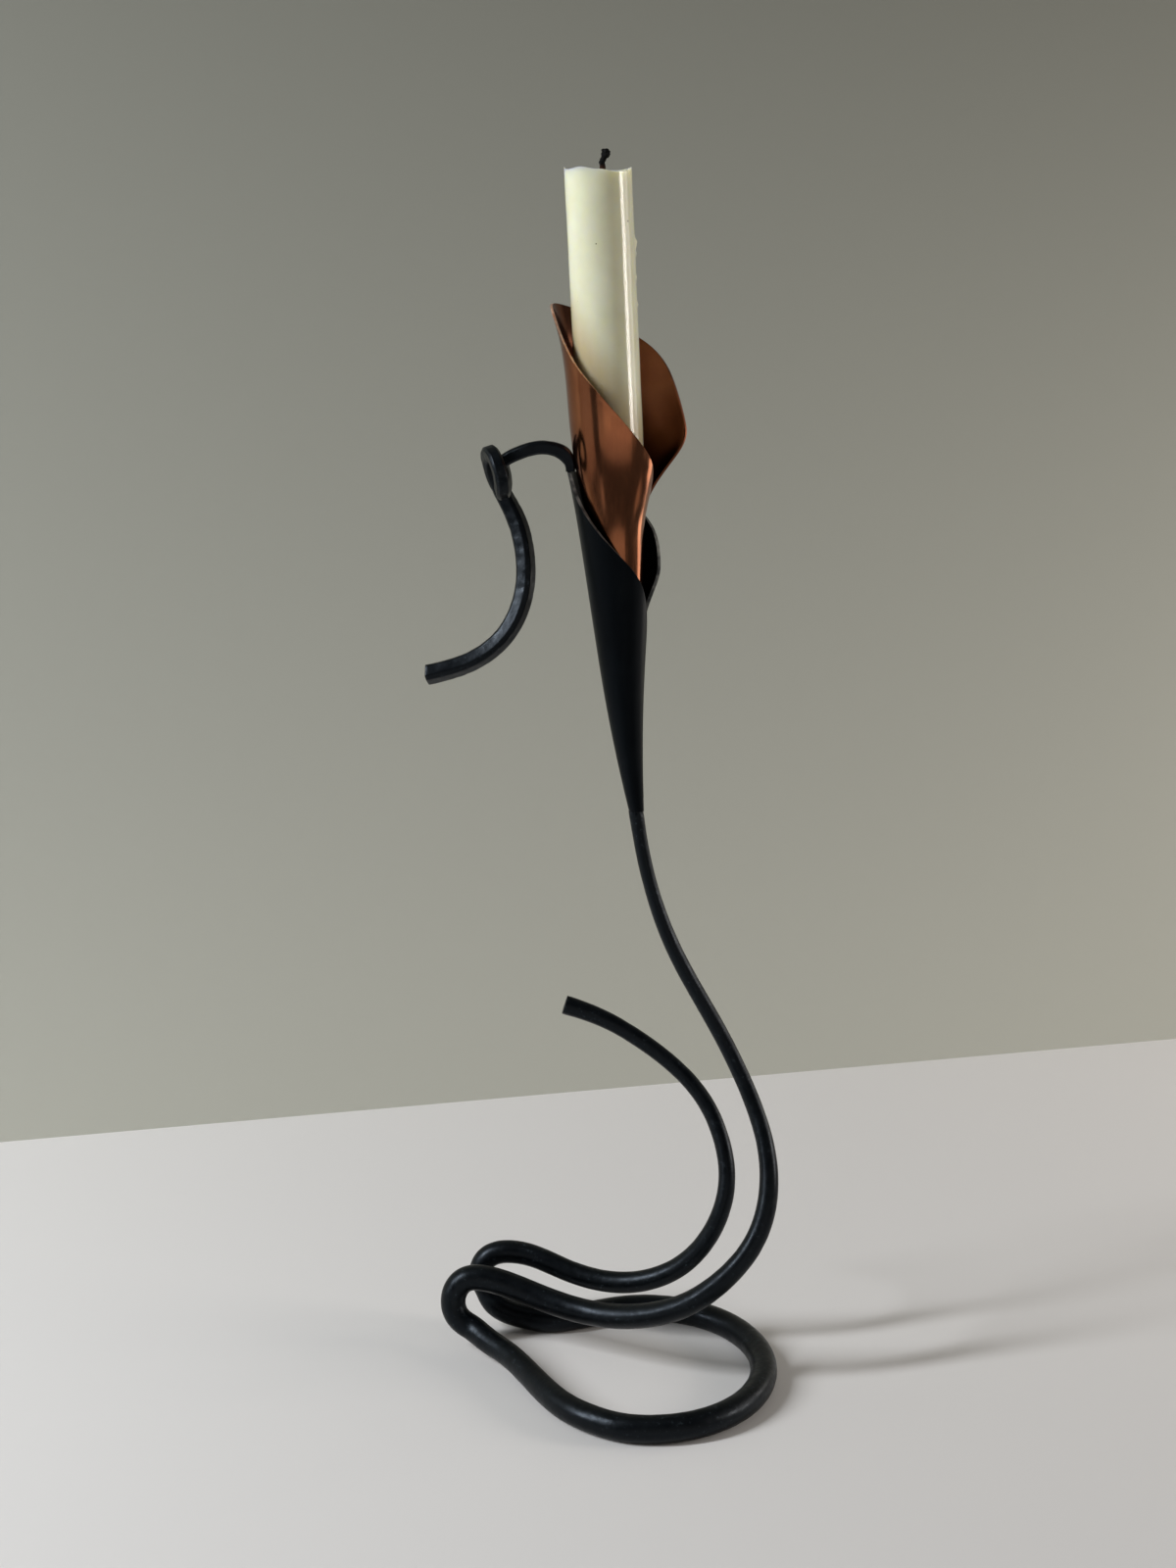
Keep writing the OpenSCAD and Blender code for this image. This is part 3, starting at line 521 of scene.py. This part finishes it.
# Charred cotton: matt black with ash grey crumbs, scorched brown where the flame never reached
charred, shader = material_named("charred_plaited_cotton")
place = add(charred, "TexCoord").outputs["Object"]
crumbs = add(charred, "TexNoise", {"Vector": place, "Scale": 1500, "Detail": 4, "Roughness": 0.7})
tone = add(charred, "ValToRGB", {"Fac": crumbs.outputs["Fac"]},
           stops=[(0.35, "#040405"), (0.6, "#080809"), (0.8, "#1c1919")])
spot = add(charred, "SeparateXYZ", {"Vector": place})
scorched = add(charred, "MapRange", {"Value": spot.outputs["Z"], "From Min": high.z - 7.4 * MM,
                                     "From Max": high.z - 4.8 * MM, "To Min": 1, "To Max": 0})
shown = add(charred, "Mix", {0: scorched.outputs["Result"], 6: tone.outputs["Color"], 7: linear("#4a2c1f")},
            data_type="RGBA")
bump = add(charred, "Bump", {"Height": crumbs.outputs["Fac"], "Strength": 0.8, "Distance": 0.15 * MM})
shader.inputs["Roughness"].default_value = 0.85
shader.inputs["IOR"].default_value = 1.25
link(charred, shown.outputs[2], shader.inputs["Base Color"])
link(charred, bump.outputs["Normal"], shader.inputs["Normal"])
dress(wick, [charred], "taper", "wick")

# Table and wall
# A plain pale table top with a plain grey wall behind it, as in the photograph: the table's far edge runs
# from 219 mm behind the object on the left to 358 mm behind it on the right.
table_edge = [Vector((-0.271, 0.219, 0)), Vector((0.295, 0.358, 0))]
along_edge = (table_edge[1] - table_edge[0]).normalized()
to_wall = Vector((-along_edge.y, along_edge.x, 0))
edge_middle = (table_edge[0] + table_edge[1]) / 2
turn = math.atan2(along_edge.y, along_edge.x)

TABLE_W = 1.2
TABLE_D = 0.65
bpy.ops.mesh.primitive_plane_add(size=1, rotation=(0, 0, turn),
                                 location=edge_middle - to_wall * TABLE_D / 2 + Vector((0, 0, -0.02 * MM)))
table = bpy.context.active_object
table.name = "table"
table.scale = (TABLE_W, TABLE_D, 1)
cloth, shader = material_named("plain_pale_table")
shader.inputs["Base Color"].default_value = linear("#d8d6d4")
shader.inputs["Roughness"].default_value = 0.9
table.data.materials.append(cloth)

bpy.ops.mesh.primitive_plane_add(size=6, location=edge_middle, rotation=(math.pi / 2, 0, turn))
wall = bpy.context.active_object
wall.name = "wall"
# The wall shows from its front only, so that views from behind look through it
plaster, shader = material_named("grey_wall_painted_shade")
# Painted shade: the grey is darker towards the top over half a metre, as the light falls off upwards
spot = add(plaster, "SeparateXYZ", {"Vector": add(plaster, "TexCoord").outputs["Object"]})
up = add(plaster, "MapRange", {"Value": spot.outputs["Y"], "From Min": 0, "From Max": 0.5})
painted_wall_shade = add(plaster, "Mix", {0: up.outputs["Result"], 6: linear("#b9bab0"), 7: linear("#818279")},
            data_type="RGBA")
link(plaster, painted_wall_shade.outputs[2], shader.inputs["Base Color"])
shader.inputs["Roughness"].default_value = 0.95
clear = add(plaster, "BsdfTransparent")
side = add(plaster, "NewGeometry")
either = add(plaster, "MixShader", {0: side.outputs["Backfacing"], 1: shader.outputs[0], 2: clear.outputs[0]})
link(plaster, either.outputs[0], plaster.node_tree.nodes["Material Output"].inputs["Surface"])
wall.data.materials.append(plaster)

# Light
# One large window on the left, a little in front, a narrow one on the right, and the soft light of the room.


def window(name, place, aim, width, height, power, colour):
    """A rectangular soft light at a place, turned to face a point."""
    lamp = bpy.data.lights.new(name, "AREA")
    lamp.shape = "RECTANGLE"
    lamp.size = width
    lamp.size_y = height
    lamp.energy = power
    lamp.color = linear(colour)[:3]
    holder = bpy.data.objects.new(name, lamp)
    bpy.context.scene.collection.objects.link(holder)
    holder.location = place
    holder.rotation_euler = (Vector(aim) - Vector(place)).to_track_quat("-Z", "Y").to_euler()
    holder.visible_camera = False


window("left_window", (-0.95, -0.32, 0.77), (0, 0, 0.2), 0.12, 0.66, 14.6, "#f8fbff")
window("right_window", (1.247, -0.09, 0.42), (0, 0, 0.37), 0.34, 0.3, 5, "#fff6ee")
window("beside_right_window", (0.85, 0.25, 0.4), (0, 0, 0.37), 0.3, 0.3, 0.9, "#fff6ee")
window("right_window_low", (0.535, 0.272, 0.183), (0, 0, 0.29), 0.23, 0.1, 0.17, "#fff6ee")
window("front_of_room", (0.45, -1.6, 0.45), (0, 0, 0.3), 2.4, 1, 2.5, "#fff2e4")
window("pale_front", (0.05, -1.3, 0.03), (0, 0, 0.3), 1.9, 0.26, 0.75, "#fff8f0")
window("pale_left", (-1.3, -0.2, -0.03), (0, 0, 0.33), 1.5, 0.4, 0.62, "#fff8f0")
window("ceiling", (0, -0.3, 1.7), (0, 0, 0.2), 1.2, 1.2, 0.9, "#fffaf4")

room = bpy.data.worlds.new("room")
bpy.context.scene.world = room
room.use_nodes = True
air = room.node_tree.nodes["Background"]
air.inputs["Color"].default_value = linear("#c8ccd0")
air.inputs["Strength"].default_value = 0.13

# Camera
# Seen from the front, from 387 mm above the table and 735 mm away, tilted 13.06 degrees down.
PHOTO_H = 1600
FOCAL_PX = 2300
camera = bpy.data.objects.new("camera", bpy.data.cameras.new("camera"))
bpy.context.scene.collection.objects.link(camera)
camera.location = (-0.005791, -0.734506, 0.387)
camera.rotation_euler = (math.radians(90 - 13.06), 0, 0)
camera.data.sensor_width = 36
camera.data.lens = 36 * FOCAL_PX / PHOTO_H
bpy.context.scene.camera = camera
bpy.context.scene.view_settings.view_transform = "Standard"
